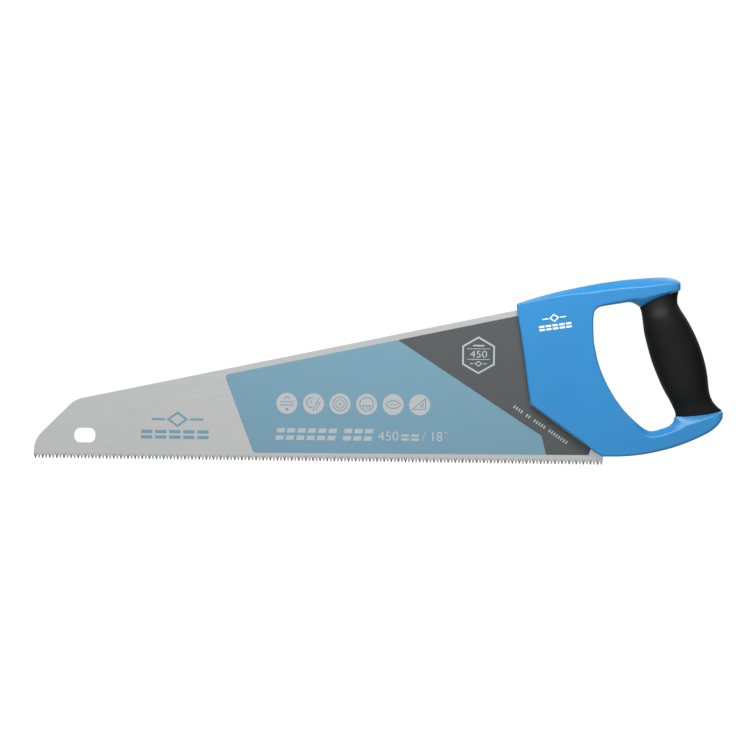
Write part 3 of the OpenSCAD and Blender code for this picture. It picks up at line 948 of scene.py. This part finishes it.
class HANDSAW_OT_stage(bpy.types.Operator):
    """Set up the pale floor, the soft lights and the camera"""

    bl_idname = "hand_saw.stage"
    bl_label = "Set Stage"

    def execute(self, context):
        self.add_floor()
        self.add_world()
        self.add_lights()
        self.add_camera(context.scene)
        return {"FINISHED"}

    def add_floor(self):
        """A floor that sweeps up into a backdrop behind the saw and to its sides."""
        bm = bmesh.new()
        bmesh.ops.create_circle(bm, cap_ends=True, segments=96, radius=5.0)
        rim = [e for e in bm.edges if e.is_boundary]
        for i in range(1, 13):
            angle = math.radians(7.5 * i)
            rim = [g for g in bmesh.ops.extrude_edge_only(bm, edges=rim)["geom"]
                   if isinstance(g, bmesh.types.BMEdge)]
            verts = {v for e in rim for v in e.verts}
            radius = 5.0 + 2.0 * math.sin(angle)
            for v in verts:
                flat = Vector((v.co.x, v.co.y, 0)).normalized() * radius
                v.co = Vector((flat.x, flat.y, 2.0 * (1 - math.cos(angle))))
        wall = bmesh.ops.extrude_edge_only(bm, edges=rim)["geom"]
        verts = [v for v in wall if isinstance(v, bmesh.types.BMVert)]
        bmesh.ops.translate(bm, vec=(0, 0, 6.0), verts=verts)
        for face in bm.faces:
            face.smooth = True
        mesh = bpy.data.meshes.new("floor")
        bm.to_mesh(mesh)
        bm.free()
        floor = bpy.data.objects.new("floor", mesh)
        bpy.context.scene.collection.objects.link(floor)
        material, tree, shader = new_material("floor_paint")
        shader.inputs["Base Color"].default_value = (0.3, 0.3, 0.3, 1)
        shader.inputs["Roughness"].default_value = 0.9
        shader.inputs["Specular IOR Level"].default_value = 0.1
        shader.inputs["Emission Color"].default_value = (1, 1, 1, 1)
        shader.inputs["Emission Strength"].default_value = 0.94
        mesh.materials.append(material)
        floor.visible_diffuse = False
        floor.visible_glossy = False

    def add_world(self):
        """Soft light from the front and rear, weaker from above and below, weakest from the sides."""
        world = bpy.data.worlds.new("studio")
        bpy.context.scene.world = world
        world.use_nodes = True
        tree = world.node_tree
        coordinates = tree.nodes.new("ShaderNodeTexCoord")
        split = tree.nodes.new("ShaderNodeSeparateXYZ")
        link(tree, coordinates.outputs["Generated"], split.inputs["Vector"])
        above = remap(tree, split.outputs["Z"], (0.1, 0.95), (0, 0.2), smooth=True)
        below = remap(tree, split.outputs["Z"], (-0.95, -0.1), (0.4, 0), smooth=True)
        front = remap(tree, split.outputs["Y"], (-1, -0.2), (0.55, 0), smooth=True)
        rear = remap(tree, split.outputs["Y"], (0.1, 1), (0, 0.5), smooth=True)
        upright = combine(tree, "ADD", above, below)
        facing = combine(tree, "ADD", front, rear)
        strength = combine(tree, "ADD", combine(tree, "ADD", upright, facing), 0.06)
        link(tree, strength, tree.nodes["Background"].inputs["Strength"])
        tree.nodes["Background"].inputs["Color"].default_value = (1, 1, 1, 1)

    def add_light(self, name, size, power, place, target):
        data = bpy.data.lights.new(name, "AREA")
        data.shape = "RECTANGLE"
        data.size, data.size_y = size
        data.energy = power
        light = bpy.data.objects.new(name, data)
        light.location = place
        light.visible_camera = False
        aim = Vector(target) - Vector(place)
        light.rotation_euler = aim.to_track_quat("-Z", "Y").to_euler()
        bpy.context.scene.collection.objects.link(light)

    def add_lights(self):
        self.add_light("key_light", (0.6, 0.3), 4.4, (0.0, -0.36, 0.5), (0.06, 0, 0.08))
        self.add_light("back_light", (1.4, 1.0), 8.0, (0.6, 1.5, 1.2), (0.0, 0, 0.08))

    def add_camera(self, scene):
        sizes = scene.hand_saw_sizes
        data = bpy.data.cameras.new("camera")
        data.lens = sizes.lens
        camera = bpy.data.objects.new("camera", data)
        away = sizes.view_width * data.lens / data.sensor_width
        camera.location = side_point(VIEW_CENTRE * MM, -away)
        camera.rotation_euler = (math.radians(90), -sizes.view_roll, 0)
        data.clip_end = 50.0
        scene.collection.objects.link(camera)
        scene.camera = camera
        scene.view_settings.view_transform = "Standard"


class HANDSAW_PT_panel(bpy.types.Panel):
    """Buttons and values of the hand saw"""

    bl_idname = "HANDSAW_PT_panel"
    bl_label = "Hand Saw"
    bl_space_type = "VIEW_3D"
    bl_region_type = "UI"
    bl_category = "Hand Saw"

    def draw(self, context):
        layout = self.layout
        for group in (context.scene.hand_saw_sizes, context.scene.hand_saw_colours):
            for name in group.__annotations__:
                layout.prop(group, name)
        for operator in OPERATORS:
            layout.operator(operator.bl_idname)


OPERATORS = (
    HANDSAW_OT_stage,
    HANDSAW_OT_blade,
    HANDSAW_OT_print,
    HANDSAW_OT_handle,
    HANDSAW_OT_grip,
    HANDSAW_OT_screws,
)
CLASSES = (HandSawSizes, HandSawColours, *OPERATORS, HANDSAW_PT_panel)


def register():
    for cls in CLASSES:
        bpy.utils.register_class(cls)
    bpy.types.Scene.hand_saw_sizes = PointerProperty(type=HandSawSizes)
    bpy.types.Scene.hand_saw_colours = PointerProperty(type=HandSawColours)


def unregister():
    del bpy.types.Scene.hand_saw_colours
    del bpy.types.Scene.hand_saw_sizes
    for cls in reversed(CLASSES):
        bpy.utils.unregister_class(cls)


def main():
    register()
    bpy.ops.hand_saw.stage()
    bpy.ops.hand_saw.blade()
    bpy.ops.hand_saw.print()
    bpy.ops.hand_saw.handle()
    bpy.ops.hand_saw.grip()
    bpy.ops.hand_saw.screws()


if __name__ == "__main__":
    main()
